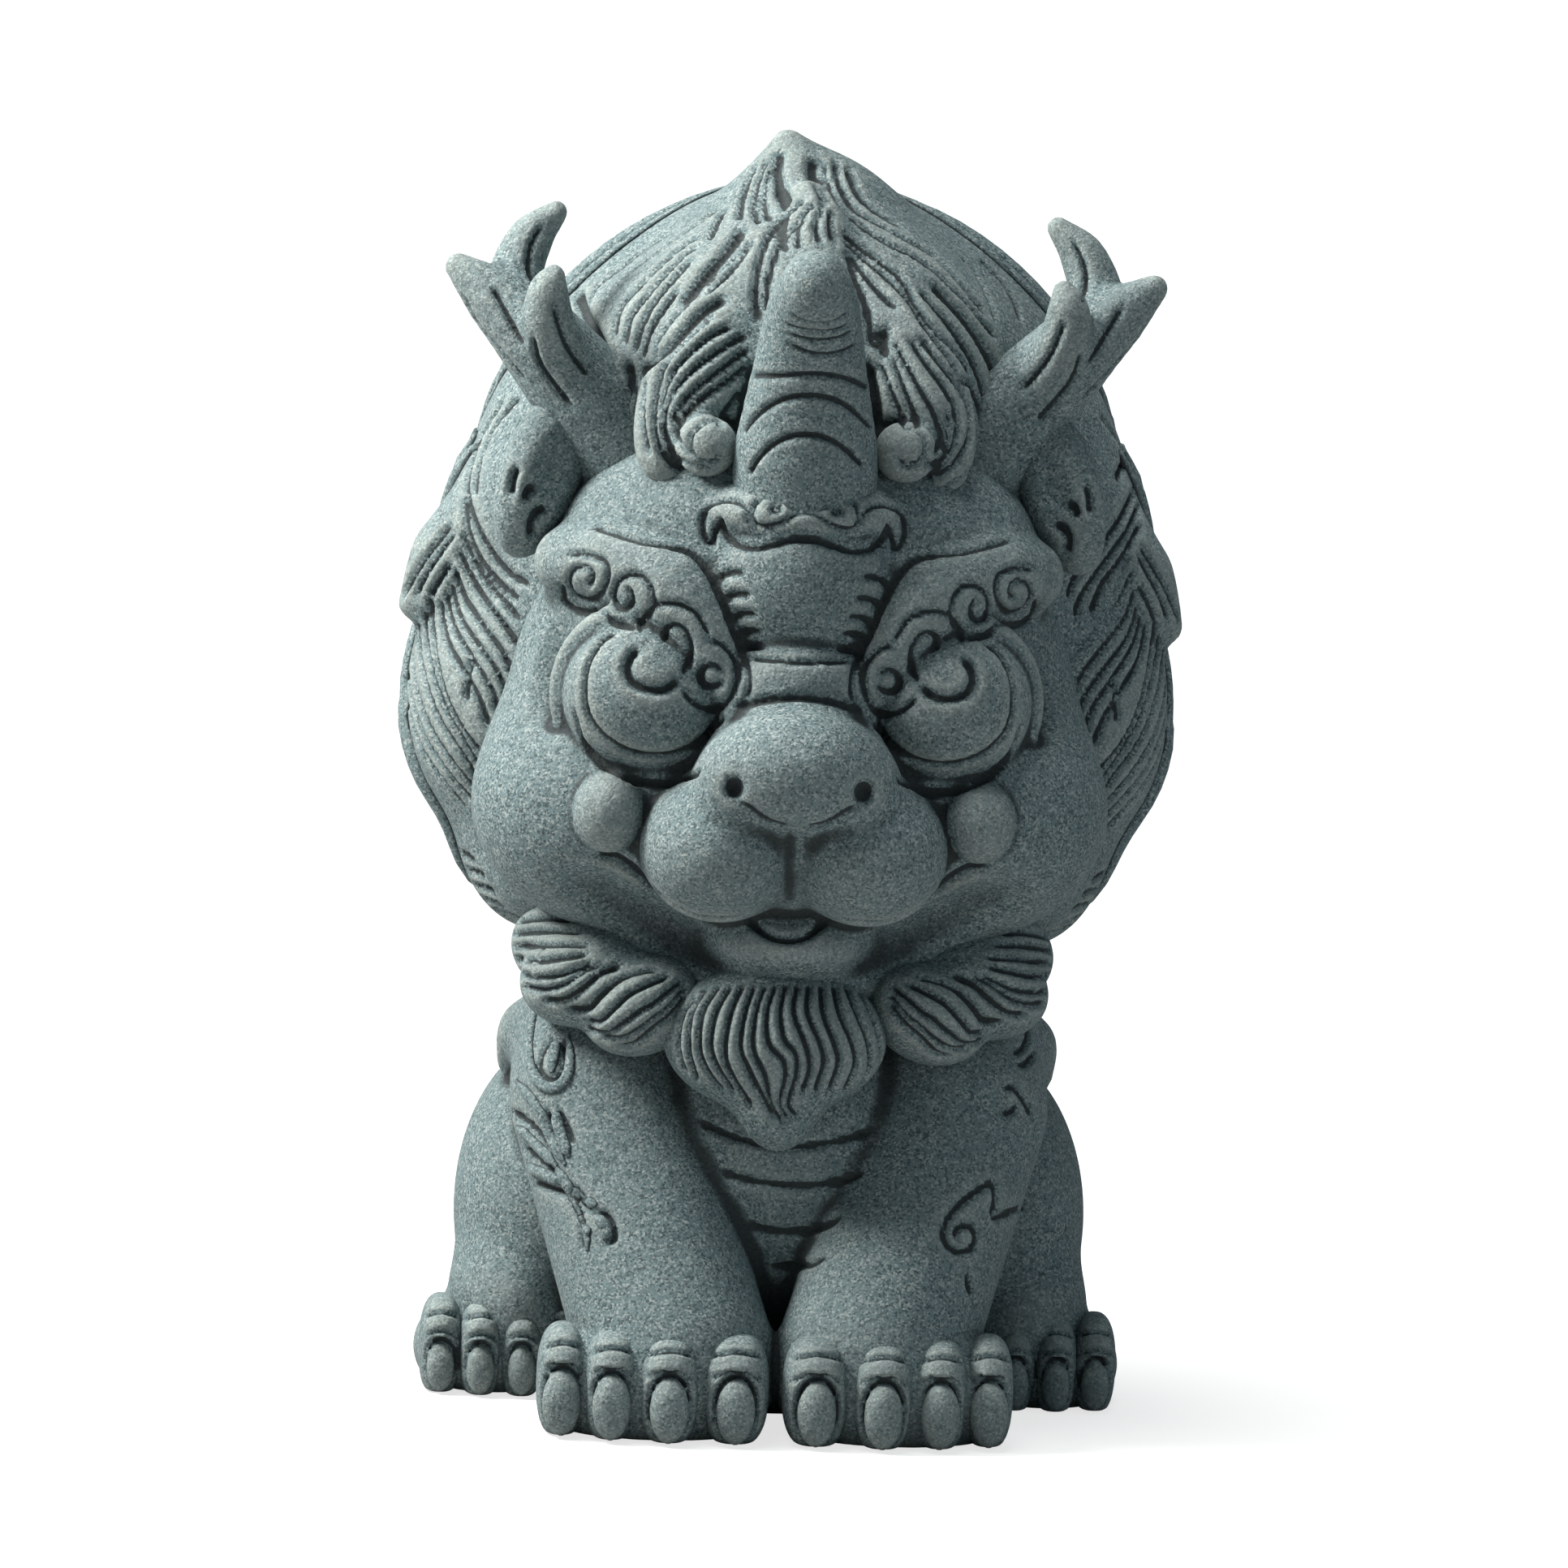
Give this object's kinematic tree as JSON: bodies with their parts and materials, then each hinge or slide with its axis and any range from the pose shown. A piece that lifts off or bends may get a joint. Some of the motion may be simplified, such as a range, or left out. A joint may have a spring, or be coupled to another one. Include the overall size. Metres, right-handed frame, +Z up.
{
  "type": "pixiu statue",
  "caption": "Seated guardian beast of carved granite with a round mane, beard, forehead horn, branched antlers and an upturned tail, standing free on its flat underside.",
  "frame": {"origin": "middle of the statue on the ground, in the plane of its flat underside", "axes": "+Z up from the ground, -Y the way the face looks, +X the statue's own left"},
  "size_m": [0.3078, 0.325, 0.5],
  "materials": {
    "granite": "grey-green speckled granite, pecked and sanded, no polish",
    "steel": "plain stainless bar",
    "resin": "cured stone resin",
    "mortar": "lime mortar, trowelled flush"
  },
  "bodies": {
    "root": {"body_stone": "granite", "head_stone": "granite", "antler_left": "granite", "antler_right": "granite", "forehead_horn": "granite", "tail_stone": "granite", "neck_dowel_left": "steel", "neck_dowel_right": "steel", "antler_left_dowel": "steel", "antler_right_dowel": "steel", "horn_dowel": "steel", "tail_dowel": "steel", "antler_left_bed": "resin", "antler_right_bed": "resin", "horn_bed": "resin", "tail_bed": "resin", "neck_bed": "mortar"}
  },
  "joints": []
}
